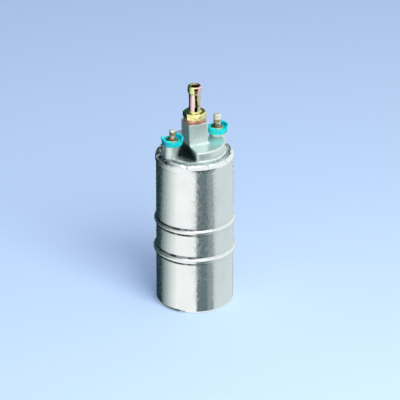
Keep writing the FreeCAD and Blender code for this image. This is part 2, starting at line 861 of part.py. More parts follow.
def tower_foot_flare(ground):
    """Concave fillet round the tower's foot, kept only where the raised ground carries it."""
    corner = tower_side / 2 - tower_edge_radius
    reach = tower_edge_radius + tower_foot_radius
    waist = plateau_top + tower_foot_radius
    bend = tower_foot_radius * (1 - math.sqrt(0.5))
    start = Vector(corner + reach, corner, plateau_top)
    finish = Vector(corner + tower_edge_radius, corner, waist)
    middle = Vector(corner + tower_edge_radius + bend, corner, plateau_top + bend)
    inner_low = Vector(corner, corner, plateau_top)
    inner_high = Vector(corner, corner, waist)
    section = Part.Face(Part.Wire([
        Part.makeLine(inner_low, start),
        Part.Arc(start, middle, finish).toShape(),
        Part.makeLine(finish, inner_high),
        Part.makeLine(inner_high, inner_low),
    ]))
    side = section.extrude(Vector(0, -2 * corner, 0))
    bend_round = section.revolve(inner_low, up, 90)
    flare = side.fuse(bend_round)
    ring = flare
    for turn in (90, 180, 270):
        ring = ring.fuse(spun(flare, turn))
    return spun(ring, tower_turn).common(ground)


def end_cover():
    edge = cover_edge_chamfer
    cover = turned((0.0, flange_bottom), (insert_radius - cover_skirt_wall, flange_bottom),
                   (insert_radius - cover_skirt_wall, skirt_bottom), (insert_radius, skirt_bottom),
                   (insert_radius, flange_top - edge), (insert_radius - edge, flange_top),
                   (cover_seat_radius, flange_top), (cover_seat_radius, cover_seat_top - edge),
                   (cover_seat_radius - edge, cover_seat_top), (0.0, cover_seat_top))
    platform_height = plateau_top - flange_bottom
    cover = cover.fuse(rounded_platform(web_outline(platform_height)))
    cover = cover.fuse(rounded_platform(plateau_outline(platform_height)))
    cover = cover.fuse(tower_block(flange_bottom, tower_top))
    ground_height = platform_height + tower_foot_radius
    ground = web_outline(ground_height).fuse(plateau_outline(ground_height))
    cover = cover.fuse(tower_foot_flare(ground))
    for side in (1, -1):
        centre = boss_centre(side)
        boss = taper(boss_radius + boss_draft, boss_radius - boss_draft, flange_top - 1, boss_top, centre)
        cover = cover.fuse(boss)
        inner_boss = rod(boss_radius - boss_depth_inset, boss_bottom, flange_top, centre)
        cover = cover.fuse(inner_boss.common(rod(insert_radius, 0, flange_top)))
        cover = cover.cut(rod(collar_shank_radius + slip_gap, boss_bottom - 1, boss_top + 1, centre))
    cover = cover.cut(rod(valve_bore_radius, flange_bottom - 1, tower_top))
    cover = cover.cut(rod(valve_chamber_radius, valve_seat_level, tower_top))
    cover = cover.cut(rod(outlet_thread_radius, fitting_bottom - thread_run_out, tower_top + 1))
    groove_middle = (flange_bottom + skirt_bottom) / 2
    cover = cover.cut(tube(insert_radius + 1, insert_radius - seal_groove_depth,
                           groove_middle - seal_groove_width / 2, groove_middle + seal_groove_width / 2))
    return one_solid(cover)


def cover_seal():
    groove_middle = (flange_bottom + skirt_bottom) / 2
    half = seal_groove_width / 2 - axial_gap
    return tube(inner_radius - fixed_gap, insert_radius - seal_groove_depth + fixed_gap,
                groove_middle - half, groove_middle + half)


def terminal_collar(side, stud_radius):
    """Insulating collar whose shank lines the boss, its wall cut down to the floor in two gaps."""
    centre = boss_centre(side)
    collar = taper(collar_foot_radius, collar_top_radius, boss_top + axial_gap, collar_top, centre)
    collar = collar.cut(rod(collar_inner_radius, collar_floor, collar_top + 1, centre))
    for first, last in (collar_back_gap, collar_front_gap):
        gap = wedge(3 * collar_top_radius, first, last, collar_floor, collar_top + 1)
        collar = collar.cut(shifted(gap, centre))
    collar = collar.fuse(rod(collar_shank_radius, boss_bottom, collar_floor, centre))
    return one_solid(collar.cut(rod(stud_radius + slip_gap, boss_bottom - 1, collar_top, centre)))


def terminal_stud(side, stud_radius, rise):
    """Threaded stud: riveted foot, long shank, contact shoulder and free threaded end."""
    centre = boss_centre(side)
    foot_top = strap_bottom - axial_gap
    tip = collar_top + rise
    chamfer_bottom = tip - stud_tip_chamfer
    shoulder_bottom = collar_floor + axial_gap
    shoulder_top = shoulder_bottom + stud_shoulder_height
    stud = rod(stud_radius, foot_top - stud_foot_height, chamfer_bottom, centre)
    stud = stud.fuse(taper(stud_radius, stud_radius - stud_tip_chamfer, chamfer_bottom, tip, centre))
    stud = stud.fuse(rod(stud_foot_radius, foot_top - stud_foot_height, foot_top, centre))
    stud = stud.fuse(rod(stud_shoulder_radius, shoulder_bottom, shoulder_top, centre))
    return one_solid(stud)


def sealing_washer():
    return tube(washer_radius, outlet_thread_radius + slip_gap, tower_top + fixed_gap,
                hex_bottom - fixed_gap)


def outlet_fitting():
    """Hexagon union: screwed shank below, hose tube with a rounded barb above."""
    nut = hexagon(hex_across, hex_bottom, hex_top, hex_turn)
    flat = hex_across / 2 - axial_gap
    spread = flat + hex_height / math.tan(math.radians(hex_chamfer))
    bevel = taper(spread, flat, hex_bottom, hex_top)
    foot = taper(flat, spread, hex_bottom, hex_top)
    nut = nut.common(bevel).common(foot)
    flare_top = hex_top + tube_root_flare
    barb_start = tube_top + barb_lead_in
    tip_round = chords(barb_radius - barb_tip_round, fitting_top - barb_tip_round, barb_tip_round, 0, 90, 2)
    stem = turned((fitting_bore_radius, fitting_bottom),
                  (outlet_thread_radius - slip_gap, fitting_bottom),
                  (outlet_thread_radius - slip_gap, hex_bottom + fitting_foot_height),
                  (tube_radius + tube_root_flare, hex_bottom + fitting_foot_height),
                  (tube_radius + tube_root_flare, hex_top),
                  (tube_radius, flare_top),
                  (tube_radius, tube_top),
                  (barb_radius, barb_start),
                  *tip_round,
                  (fitting_bore_radius, fitting_top))
    return one_solid(nut.cut(rod(fitting_bore_radius, hex_bottom - 1, hex_top + 1)).fuse(stem))


def check_valve_poppet():
    seat = valve_seat_level + axial_gap
    head_top = seat + poppet_height
    return turned((0.0, seat - poppet_stem_length), (poppet_stem_radius, seat - poppet_stem_length),
                  (poppet_stem_radius, seat), (poppet_radius, seat), (poppet_radius, head_top),
                  (poppet_nose_radius, head_top), (poppet_nose_radius, head_top + poppet_nose_length),
                  (0.0, head_top + poppet_nose_length))


def check_valve_spring():
    bottom = valve_seat_level + poppet_height + 2 * axial_gap
    return coil_spring((poppet_nose_radius + valve_chamber_radius) / 2, check_wire, check_turns,
                       bottom, fitting_bottom - axial_gap)


pieces = {
    "housing_can": housing_can(),
    "inlet_cover": inlet_cover(),
    "pump_ring": pump_ring(),
    "pump_rotor": pump_rotor(),
    "port_plate": port_plate(),
    "pump_screws": pump_screws(),
    "lower_bearing": lower_bearing(),
    "drive_coupling": drive_coupling(),
    "thrust_washer": thrust_washer(),
    "relief_ball": relief_ball(),
    "relief_spring": relief_spring(),
    "magnet_left": magnet(magnet_first_angle),
    "magnet_right": magnet(magnet_first_angle + 180),
    "magnet_clips": magnet_clips(),
    "armature_shaft": armature_shaft(),
    "armature_core": armature_core(),
    "armature_windings": armature_windings(),
    "commutator_hub": commutator_hub(),
    "commutator_segments": commutator_segments(),
    "brush_plate": brush_plate(),
    "upper_bearing": upper_bearing(),
    "insulating_washers": insulating_washers(),
    "end_cover": end_cover(),
    "cover_seal": cover_seal(),
    "sealing_washer": sealing_washer(),
    "outlet_fitting": outlet_fitting(),
    "check_valve_poppet": check_valve_poppet(),
    "check_valve_spring": check_valve_spring(),
}
for number, angle in enumerate(roller_angles(), start=1):
    pieces["roller_%d" % number] = roller(angle)
terminals = (
    ("minus", -1, stud_minus_radius, stud_minus_rise),
    ("plus", 1, stud_plus_radius, stud_plus_rise),
)
for name, side, stud_radius, rise in terminals:
    pieces["brush_" + name] = brush(side)
    pieces["brush_spring_" + name] = brush_spring(side)
    pieces["contact_strap_" + name] = contact_strap(side, stud_radius)
    pieces["terminal_stud_" + name] = terminal_stud(side, stud_radius, rise)
    pieces["terminal_collar_" + name] = terminal_collar(side, stud_radius)

os.makedirs("parts", exist_ok=True)
for name, shape in pieces.items():
    shape.exportStep("parts/%s.step" % name)
    print("%-22s %2d solids %10.1f mm3" % (name, len(shape.Solids), shape.Volume))
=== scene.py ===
import json
import math

import bpy
import bmesh
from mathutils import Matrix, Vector


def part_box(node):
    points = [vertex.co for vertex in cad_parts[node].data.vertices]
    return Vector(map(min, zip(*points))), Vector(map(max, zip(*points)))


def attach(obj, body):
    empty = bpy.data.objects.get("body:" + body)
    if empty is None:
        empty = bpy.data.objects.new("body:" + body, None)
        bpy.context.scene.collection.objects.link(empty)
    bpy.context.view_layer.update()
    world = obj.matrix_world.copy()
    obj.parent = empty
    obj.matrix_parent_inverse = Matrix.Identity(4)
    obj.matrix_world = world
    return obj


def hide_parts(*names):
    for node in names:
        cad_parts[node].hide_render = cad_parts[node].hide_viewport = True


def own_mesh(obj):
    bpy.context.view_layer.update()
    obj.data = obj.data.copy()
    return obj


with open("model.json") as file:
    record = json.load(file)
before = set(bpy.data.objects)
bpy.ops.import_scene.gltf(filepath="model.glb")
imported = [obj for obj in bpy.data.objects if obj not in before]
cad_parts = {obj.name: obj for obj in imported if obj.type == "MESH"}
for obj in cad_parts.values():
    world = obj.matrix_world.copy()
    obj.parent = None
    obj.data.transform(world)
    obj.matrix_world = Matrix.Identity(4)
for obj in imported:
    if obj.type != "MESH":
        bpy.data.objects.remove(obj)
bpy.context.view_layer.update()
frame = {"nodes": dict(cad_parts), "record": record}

# Sizes here are in millimetres, as on the pump's drawing. The frame is in metres.
mm = 0.001


def low(node):
    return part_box(node)[0] / mm


def high(node):
    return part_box(node)[1] / mm


# Levels and radii read from the frame
can_height = high("housing_can").z
washer_bottom = low("sealing_washer").z
washer_top = high("sealing_washer").z
washer_radius = high("sealing_washer").x
fitting_bottom = low("outlet_fitting").z
fitting_top = high("outlet_fitting").z
collar_top = high("terminal_collar_minus").z
stud_tip = high("terminal_stud_minus").z

# Can
can_radius = 26.0
can_wall = 1.5
foot_opening_radius = 20.5
foot_corner = 2.8
beads = ((39.8, 4.7, 1.9), (60.9, 3.8, 1.4))
bead_root = 0.6
crimp_depth = 7.6
crimp_swell = 0.5
shoulder_depth = 3.6
rim_radius = 24.6
rim_opening_radius = 23.2
lip_thickness = 1.4
stake_count = 11
stake_first_angle = -101.5
stake_reach = 1.2
stake_spread = 3.6
stake_notch_width = 2.3
stake_notch_depth = 2.5
stake_notch_root = 23.9
boss_clear_radius = 6.2
flange_top = can_height - lip_thickness - 0.1
seat_top = flange_top + 2.8
plateau_top = flange_top + 8.5

# Terminals
collar_height = 5.0
collar_foot_radius = 6.8
collar_top_radius = 7.6
collar_wall = 1.3
collar_well_depth = 2.2
collar_gaps = ((68.0, 162.0), (266.0, 335.0))
collar_shank_radius = 3.4
stud_sizes = {"minus": (2.0, 0.7), "plus": (2.5, 0.8)}
stud_shoulder_radius = 4.2
stud_shoulder_height = 0.8
stud_foot_radius = 3.4
stud_foot_height = 1.1

# Outlet fitting
hex_across = 14.0
hex_height = 4.5
hex_turn = -99.0
hex_chamfer = 30.0
shank_radius = 4.9
bore_radius = 2.6
tube_radius = 3.9
tube_flare = 0.9
barb_radius = 4.7
barb_length = 6.0
barb_lead_in = 1.5
barb_round = 0.9
tube_length = 18.7
stained_foot = 0.6

# Washer
washer_bore_radius = 5.1
washer_edge = 0.7
washer_chamfer = 0.3

# Cast cover: cell size of its mesh, and how often its edges are softened
casting_cell = 0.4
casting_passes = 4

# Springs inside the pump, as wound in the part's source
spring_wire = 0.5
spring_turns = {
    "check_valve_spring": 4,
    "relief_spring": 3,
    "brush_spring_minus": 4,
    "brush_spring_plus": 4,
}

# Camera: a long lens a little above the pump
view_elevation = 26.0
view_distance = 3000.0
view_width = 269.0
aim = (3.56, 0.0, 73.0)

# Turned bodies start and end this close to their axis, and a ring within the second radius is capped
axis_radius = 0.01
tiny_radius = 0.05
merge_distance = 0.001

# Cards lie at their own levels above the floor: round the foot, far off, and in between
foot_card_level = 0.40
far_card_level = 0.25
card_level = 0.10
card_thickness = 0.05


# Modelling, by hand operations on one active object

def clear_selection():
    if bpy.context.object and bpy.context.object.mode != "OBJECT":
        bpy.ops.object.mode_set(mode="OBJECT")
    bpy.ops.object.select_all(action="DESELECT")


def pick(obj):
    clear_selection()
    obj.select_set(True)
    bpy.context.view_layer.objects.active = obj


def settle(obj):
    """Put an object's place into its mesh, so that it sits at the origin."""
    pick(obj)
    bpy.ops.object.transform_apply(location=True, rotation=True, scale=True)
    return obj


def apply_modifier(obj, kind, **settings):
    pick(obj)
    bpy.ops.object.modifier_add(type=kind)
    modifier = obj.modifiers[-1]
    for key, value in settings.items():
        setattr(modifier, key, value)
    bpy.ops.object.modifier_apply(modifier=modifier.name)


def combine(obj, tool, operation):
    """Cut with, add or keep the overlap with a tool body, which is used up."""
    apply_modifier(obj, "BOOLEAN", object=tool, operation=operation, solver="EXACT")
    bpy.data.objects.remove(tool, do_unlink=True)


def joined(first, *others):
    clear_selection()
    for obj in others:
        obj.select_set(True)
    first.select_set(True)
    bpy.context.view_layer.objects.active = first
    bpy.ops.object.join()
    return first


def smooth(obj, angle=35.0):
    pick(obj)
    bpy.ops.object.shade_smooth_by_angle(angle=math.radians(angle))


def lathe(name, profile, segments=96, centre=(0.0, 0.0)):
    """Closed turned body: a ring is extruded along a profile of (radius, height) and closed on itself."""
    clear_selection()
    radius, height = profile[0]
    place = (centre[0] * mm, centre[1] * mm, height * mm)
    bpy.ops.mesh.primitive_circle_add(vertices=segments, radius=radius * mm, location=place)
    obj = bpy.context.object
    obj.name = name
    settle(obj)
    bpy.ops.object.mode_set(mode="EDIT")
    bpy.ops.mesh.select_all(action="SELECT")
    for next_radius, next_height in profile[1:]:
        rise = (0.0, 0.0, (next_height - height) * mm)
        bpy.ops.mesh.extrude_region_move(TRANSFORM_OT_translate={"value": rise})
        ratio = next_radius / radius
        middle = (centre[0] * mm, centre[1] * mm, next_height * mm)
        bpy.ops.transform.resize(value=(ratio, ratio, 1.0), center_override=middle)
        radius, height = next_radius, next_height
    close_profile(profile)
    bpy.ops.mesh.select_all(action="SELECT")
    bpy.ops.mesh.normals_make_consistent(inside=False)
    bpy.ops.object.mode_set(mode="OBJECT")
    return obj


def close_profile(profile):
    """Join the last ring to the first of a hollow profile, or cap both ends of a solid one."""
    bpy.ops.mesh.select_all(action="DESELECT")
    bpy.ops.mesh.select_non_manifold()
    if profile[0][0] > tiny_radius:
        bpy.ops.mesh.bridge_edge_loops()
    else:
        bpy.ops.mesh.fill_holes(sides=0)


def arc(centre_r, centre_z, radius, first, last, count):
    """Profile points on an arc, its angles in degrees from straight outwards."""
    points = []
    for step in range(count + 1):
        angle = math.radians(first + (last - first) * step / count)
        points.append((centre_r + radius * math.cos(angle), centre_z + radius * math.sin(angle)))
    return points


def prism(name, points, bottom, top):
    """Upright solid on an outline of (x, y) points."""
    clear_selection()
    bpy.ops.mesh.primitive_circle_add(vertices=len(points), radius=mm, fill_type="NGON",
                                      location=(0.0, 0.0, bottom * mm))
    obj = bpy.context.object
    obj.name = name
    settle(obj)
    for vertex, (x, y) in zip(obj.data.vertices, points):
        vertex.co = (x * mm, y * mm, bottom * mm)
    bpy.ops.object.mode_set(mode="EDIT")
    bpy.ops.mesh.select_all(action="SELECT")
    bpy.ops.mesh.extrude_region_move(TRANSFORM_OT_translate={"value": (0.0, 0.0, (top - bottom) * mm)})
    bpy.ops.mesh.select_all(action="SELECT")
    bpy.ops.mesh.normals_make_consistent(inside=False)
    bpy.ops.object.mode_set(mode="OBJECT")
    return obj


def turned_copy(obj, angle):
    """Copy with its own mesh, turned about the pump's axis."""
    copy = obj.copy()
    copy.data = obj.data.copy()
    bpy.context.collection.objects.link(copy)
    copy.rotation_euler = (0.0, 0.0, math.radians(angle))
    return settle(copy)


def polar(radius, angle):
    turn = math.radians(angle)
    return radius * math.cos(turn), radius * math.sin(turn)


def copy_of_node(node, name):
    """Copy of a node's mesh with its loose triangles merged, ready to be shaped."""
    source = frame["nodes"][node]
    copy = source.copy()
    copy.data = source.data.copy()
    copy.name = name
    for key in list(copy.keys()):
        del copy[key]
    copy.parent = None
    bpy.context.collection.objects.link(copy)
    settle(copy)
    bpy.ops.object.mode_set(mode="EDIT")
    bpy.ops.mesh.select_all(action="SELECT")
    bpy.ops.mesh.remove_doubles(threshold=merge_distance * mm)
    bpy.ops.object.mode_set(mode="OBJECT")
    return copy


def casting(node, name):
    """A node's form with every edge and corner rounded as in a die casting."""
    obj = copy_of_node(node, name)
    apply_modifier(obj, "REMESH", mode="VOXEL", voxel_size=casting_cell * mm, use_smooth_shade=True)
    apply_modifier(obj, "SMOOTH", factor=0.5, iterations=casting_passes)
    return obj


# Pieces

def boss_centre(side):
    node = "terminal_stud_" + side
    middle = (low(node) + high(node)) / 2
    return middle.x, middle.y


def bead_profile(level, width, swell):
    """Round crown of a rolled bead between its two root fillets."""
    half = width / 2
    crown = (swell ** 2 + half ** 2) / (2 * swell) - bead_root
    crown_centre = can_radius + swell - crown
    root_centre = can_radius + bead_root
    lean = math.degrees(math.atan2(half, root_centre - crown_centre))
    points = arc(root_centre, level - half, bead_root, 180, 180 - lean, 4)
    points += arc(crown_centre, level, crown, -lean, lean, 16)
    points += arc(root_centre, level + half, bead_root, 180 + lean, 180, 4)
    return points


def can_profile():
    inner = can_radius - can_wall
    swell_radius = can_radius + crimp_swell
    shoulder_start = can_height - shoulder_depth
    inward = swell_radius - rim_radius
    bend = (inward ** 2 + shoulder_depth ** 2) / (2 * inward)
    bend_angle = math.degrees(math.asin(shoulder_depth / bend))
    crimp_start = can_height - crimp_depth
    lip_bottom = can_height - lip_thickness
    lip_round = 0.3
    points = [(foot_opening_radius, can_wall), (foot_opening_radius, 0.3), (foot_opening_radius + 0.3, 0.0)]
    points += arc(can_radius - foot_corner, foot_corner, foot_corner, -90, 0, 10)
    for level, width, swell in beads:
        points += bead_profile(level, width, swell)
    points += [(can_radius, crimp_start), (can_radius + 0.5 * crimp_swell, crimp_start + 1.2),
               (swell_radius, crimp_start + 2.4)]
    points += arc(swell_radius - bend, shoulder_start, bend, 0, bend_angle, 10)[:-1]
    points += [(rim_radius - 0.1, can_height - 0.06), (rim_radius - 0.45, can_height)]
    points += arc(rim_opening_radius + lip_round, can_height - 0.1 - lip_round, lip_round, 90, 180, 4)
    points += [(rim_opening_radius, lip_bottom), (inner, lip_bottom), (inner, can_wall + 1.3),
               (inner - 1.3, can_wall)]
    return points


def push_in_stakes(can):
    """Press the lip in over the cover's flange at each chisel mark, except where a boss stands."""
    clear_of_boss = boss_clear_radius + 1.5
    pick(can)
    bpy.ops.object.mode_set(mode="EDIT")
    for index in range(stake_count):
        angle = stake_first_angle + index * 360 / stake_count
        edge = Vector((*polar(rim_opening_radius, angle), can_height)) * mm
        gaps = [(edge.xy / mm - Vector(boss_centre(side))).length for side in ("minus", "plus")]
        if min(gaps) < clear_of_boss:
            continue
        bpy.ops.mesh.select_all(action="DESELECT")
        mesh = bmesh.from_edit_mesh(can.data)
        for vertex in mesh.verts:
            vertex.select = vertex.co.z > (can_height - lip_thickness - 0.1) * mm \
                and vertex.co.xy.length < (rim_opening_radius + 0.1) * mm \
                and (vertex.co.xy - edge.xy).length < 1.0 * mm
        mesh.select_flush(True)
        push = Vector((*polar(-stake_reach, angle), -0.25)) * mm
        bpy.ops.transform.translate(value=push, use_proportional_edit=True, use_proportional_connected=True,
                                    proportional_edit_falloff="SMOOTH", proportional_size=stake_spread * mm)
    bpy.ops.object.mode_set(mode="OBJECT")


def stake_notches():
    """V cuts of the staking chisel through the shoulder, all as one tool body."""
    apex = can_height - stake_notch_depth
    root = stake_notch_root
    spare = 0.5
    half = stake_notch_width / 2 * (1 + spare / stake_notch_depth)
    cutters = []
    first = prism("notch", [(root, -half), (root + 4, -half), (root + 4, half), (root, half)],
                  apex, can_height + spare)
    for vertex in first.data.vertices:
        if vertex.co.z < (apex + 0.1) * mm:
            vertex.co.y = math.copysign(0.03 * mm, vertex.co.y)
    for index in range(stake_count):
        cutters.append(turned_copy(first, stake_first_angle + index * 360 / stake_count))
    bpy.data.objects.remove(first, do_unlink=True)
    return joined(*cutters)


def pump_can():
    can = lathe("pump_can", can_profile(), segments=288)
    push_in_stakes(can)
    combine(can, stake_notches(), "DIFFERENCE")
    for side in ("minus", "plus"):
        bottom, top = can_height - 1.5, can_height + 1
        outline = [(axis_radius, bottom), (boss_clear_radius, bottom),
                   (boss_clear_radius, top), (axis_radius, top)]
        clearance = lathe("clearance", outline, 64, boss_centre(side))
        combine(can, clearance, "DIFFERENCE")
    smooth(can)
    return can


def collar(side):
    """Insulating collar: a flared wall, open in two gaps, on a round floor and a shank down the boss."""
    centre = boss_centre(side)
    bore = stud_sizes[side][0] + 0.1
    bottom = collar_top - collar_height + 0.05
    floor = collar_top - collar_well_depth
    shank_bottom = low("terminal_collar_" + side).z
    slope = (collar_top_radius - collar_foot_radius) / collar_height
    floor_radius = collar_foot_radius + slope * (floor - bottom)
    inner = collar_top_radius - collar_wall
    rim = 0.45
    foot = 0.4
    wall = lathe("wall", [(inner, floor - 0.6), (floor_radius - 0.2, floor - 0.6)] +
                 arc(collar_top_radius - rim, collar_top - rim, rim, -5, 90, 5) +
                 arc(inner + rim, collar_top - rim, rim, 90, 180, 5), 96, centre)
    reach = 3 * collar_top_radius
    for start, end in collar_gaps:
        corners = [(0.0, 0.0)] + [polar(reach, angle) for angle in (start, (start + end) / 2, end)]
        gap = prism("gap", [(x + centre[0], y + centre[1]) for x, y in corners], floor + 0.02, collar_top + 1)
        combine(wall, gap, "DIFFERENCE")
    apply_modifier(wall, "BEVEL", width=0.25 * mm, segments=3, limit_method="ANGLE",
                   angle_limit=math.radians(50))
    base = lathe("base", [(bore, floor), (bore, shank_bottom), (collar_shank_radius, shank_bottom),
                          (collar_shank_radius, bottom)] +
                 arc(collar_foot_radius - foot, bottom + foot, foot, -90, 0, 4) +
                 [(floor_radius - 0.15, floor - 0.2), (floor_radius - 0.35, floor)], 96, centre)
    combine(base, wall, "UNION")
    base.name = "collar_" + side
    smooth(base)
    return base


def cut_thread(obj, centre, crest, depth, pitch, start, end):
    """Sink one helical groove into the fine rings of a turned body, running out at both ends."""
    for vertex in obj.data.vertices:
        x, y = vertex.co.x / mm - centre[0], vertex.co.y / mm - centre[1]
        height = vertex.co.z / mm
        radius = math.hypot(x, y)
        if start < height < end and radius > crest - 0.01:
            turn = (height - start) / pitch - math.atan2(y, x) / (2 * math.pi)
            flank = 2 * abs(turn % 1.0 - 0.5)
            run_out = min(1.0, (height - start) / (0.6 * pitch), (end - height) / (0.3 * pitch))
            sunk = radius - depth * run_out * max(0.0, min(1.0, 1.3 * (1.0 - flank) - 0.1))
            vertex.co.x = (centre[0] + x * sunk / radius) * mm
            vertex.co.y = (centre[1] + y * sunk / radius) * mm


def stud(side):
    """Terminal stud: riveted foot, plain shank, contact shoulder and free threaded end."""
    centre = boss_centre(side)
    radius, pitch = stud_sizes[side]
    node = "terminal_stud_" + side
    bottom, top = low(node).z, high(node).z
    shoulder_bottom = collar_top - collar_well_depth + 0.05
    shoulder_top = shoulder_bottom + stud_shoulder_height
    edge = 0.15
    crest = radius - 0.06
    tip = 0.5
    thread_top = top - 0.55
    rings = int((thread_top - shoulder_top) / pitch * 10)
    rise = (thread_top - shoulder_top) / rings
    body = lathe("stud_" + side, [
        (axis_radius, bottom), (stud_foot_radius - edge, bottom), (stud_foot_radius, bottom + edge),
        (stud_foot_radius, bottom + stud_foot_height), (radius, bottom + stud_foot_height),
        (radius, shoulder_bottom), (stud_shoulder_radius, shoulder_bottom),
        (stud_shoulder_radius, shoulder_top - edge), (stud_shoulder_radius - edge, shoulder_top)] +
        [(crest, shoulder_top + rise * step) for step in range(rings + 1)] +
        arc(crest - 0.1 - tip, top - tip, tip, 0, 90, 5) + [(axis_radius, top)], 48, centre)
    cut_thread(body, centre, crest, 0.6 * pitch, pitch, shoulder_top + 0.1, thread_top - 0.05)
    smooth(body, 50)
    return body


def hexagon_nut(hex_bottom, hex_top):
    """Hexagon whose corners are turned off by a cone at each end."""
    corner = hex_across / math.sqrt(3)
    nut = prism("nut", [polar(corner, hex_turn + 30 + 60 * index) for index in range(6)], hex_bottom, hex_top)
    flat = hex_across / 2 - 0.05
    wide = corner + 0.3
    fall = (wide - flat) * math.tan(math.radians(hex_chamfer))
    envelope = lathe("envelope", [
        (axis_radius, hex_bottom), (flat, hex_bottom), (wide, hex_bottom + fall),
        (wide, hex_top - fall), (flat, hex_top), (axis_radius, hex_top)], 96)
    combine(nut, envelope, "INTERSECT")
    apply_modifier(nut, "BEVEL", width=0.12 * mm, segments=2, limit_method="ANGLE",
                   angle_limit=math.radians(20))
    return nut


def fitting():
    """Hexagon union with its screwed shank below and the hose tube with a rounded barb above."""
    hex_bottom = washer_top + 0.02
    hex_top = hex_bottom + hex_height
    tube_top = fitting_top - barb_length
    nut = hexagon_nut(hex_bottom, hex_top)
    root = tube_radius + tube_flare
    stem = lathe("outlet_union", [
        (bore_radius, fitting_bottom), (shank_radius - 0.4, fitting_bottom),
        (shank_radius, fitting_bottom + 0.4), (shank_radius, hex_bottom + 0.5),
        (root, hex_bottom + 0.5), (root, hex_top)] +
        arc(root, hex_top + tube_flare, tube_flare, -90, -180, 6) +
        [(tube_radius, tube_top), (barb_radius - 0.12, tube_top + barb_lead_in * 0.85),
         (barb_radius, tube_top + barb_lead_in + 0.15)] +
        arc(barb_radius - barb_round, fitting_top - barb_round, barb_round, 0, 90, 8) +
        arc(bore_radius + 0.45, fitting_top - 0.45, 0.45, 90, 180, 5), 96)
    hole = lathe("hole", [(axis_radius, hex_bottom - 1), (bore_radius + 0.4, hex_bottom - 1),
                          (bore_radius + 0.4, hex_top + 1), (axis_radius, hex_top + 1)], 48)
    combine(nut, hole, "DIFFERENCE")
    combine(stem, nut, "UNION")
    smooth(stem, 30)
    return stem


def washer():
    """Copper sealing washer with its edges pressed round."""
    inner = washer_bore_radius
    edge = washer_edge
    cut = washer_chamfer
    ring = lathe("copper_washer", [
        (inner, washer_top - cut), (inner, washer_bottom + cut), (inner + cut, washer_bottom)] +
        arc(washer_radius - edge, washer_bottom + edge, edge, -90, 0, 6) +
        arc(washer_radius - edge, washer_top - edge, edge, 0, 90, 6) +
        [(inner + cut, washer_top)], 96)
    smooth(ring)
    return ring


def coil_spring(node):
    """Round-wire spring in the space of its node: the wire's section is wound up round the axis."""
    bottom, top = low(node), high(node)
    turns = spring_turns[node]
    mean_radius = (top.x - bottom.x - spring_wire) / 2
    rise = (top.z - bottom.z - spring_wire) / turns
    clear_selection()
    bpy.ops.mesh.primitive_circle_add(vertices=12, radius=spring_wire / 2 * mm,
                                      location=(mean_radius * mm, 0.0, 0.0),
                                      rotation=(math.radians(90), 0.0, 0.0))
    coil = bpy.context.object
    coil.name = "coil_" + node
    settle(coil)
    apply_modifier(coil, "SCREW", screw_offset=rise * mm, iterations=turns, steps=24, render_steps=24)
    bpy.ops.object.mode_set(mode="EDIT")
    bpy.ops.mesh.select_all(action="SELECT")
    bpy.ops.mesh.remove_doubles(threshold=merge_distance * mm)
    bpy.ops.mesh.select_all(action="DESELECT")
    bpy.ops.mesh.select_non_manifold()
    bpy.ops.mesh.fill_holes(sides=0)
    bpy.ops.mesh.select_all(action="SELECT")
    bpy.ops.mesh.normals_make_consistent(inside=False)
    bpy.ops.object.mode_set(mode="OBJECT")
    middle = (bottom + top) / 2
    coil.location = (middle.x * mm, middle.y * mm, (bottom.z + spring_wire / 2) * mm)
    settle(coil)
    smooth(coil)
    return coil


# Finishes

def new_finish(name, colour, metallic, roughness):
    material = bpy.data.materials.new(name)
    material.use_nodes = True
    shader = material.node_tree.nodes["Principled BSDF"]
    shader.inputs["Base Color"].default_value = (*colour, 1.0)
    shader.inputs["Metallic"].default_value = metallic
    shader.inputs["Roughness"].default_value = roughness
    return material


def node(material, kind, **settings):
    made = material.node_tree.nodes.new(kind)
    for key, value in settings.items():
        setattr(made, key, value)
    return made


def place(material, stretch=(1.0, 1.0, 1.0)):
    """Object coordinates, drawn out along the axes whose stretch is large."""
    coordinates = node(material, "ShaderNodeTexCoord")
    mapping = node(material, "ShaderNodeMapping")
    mapping.inputs["Scale"].default_value = [1 / value for value in stretch]
    material.node_tree.links.new(coordinates.outputs["Object"], mapping.inputs["Vector"])
    return mapping.outputs["Vector"]


def mottle(material, vector, size, detail=4.0, distortion=0.0):
    """Soft noise whose spots are about one size across, in millimetres."""
    texture = node(material, "ShaderNodeTexNoise")
    texture.inputs["Scale"].default_value = 1 / (size * mm)
    texture.inputs["Detail"].default_value = detail
    texture.inputs["Distortion"].default_value = distortion
    material.node_tree.links.new(vector, texture.inputs["Vector"])
    return texture.outputs["Fac"]


def tint(material, share, *stops):
    """Colour ramp of (position, colour) stops."""
    ramp = node(material, "ShaderNodeValToRGB")
    elements = ramp.color_ramp.elements
    while len(elements) < len(stops):
        elements.new(0.5)
    for element, (position, colour) in zip(elements, stops):
        element.position = position
        element.color = (*colour, 1.0)
    material.node_tree.links.new(share, ramp.inputs["Fac"])
    return ramp.outputs["Color"]


def spread(material, share, start, end, first=0.0, last=1.0):
    """Map a share from one range to another, held at both ends."""
    span = node(material, "ShaderNodeMapRange")
    for key, value in (("From Min", start), ("From Max", end), ("To Min", first), ("To Max", last)):
        span.inputs[key].default_value = value
    material.node_tree.links.new(share, span.inputs["Value"])
    return span.outputs["Result"]


def blend(material, share, first, second, kind="MIX"):
    """Mix two colours by a share, or multiply them with it as strength."""
    mix = node(material, "ShaderNodeMix", data_type="RGBA", blend_type=kind)
    for socket, value in ((mix.inputs["Factor"], share), (mix.inputs[6], first), (mix.inputs[7], second)):
        if isinstance(value, (float, tuple)):
            socket.default_value = value
        else:
            material.node_tree.links.new(value, socket)
    return mix.outputs[2]


def along(material, axis):
    """Object coordinate along one axis, in metres."""
    parts = node(material, "ShaderNodeSeparateXYZ")
    material.node_tree.links.new(place(material), parts.inputs["Vector"])
    return parts.outputs[axis]


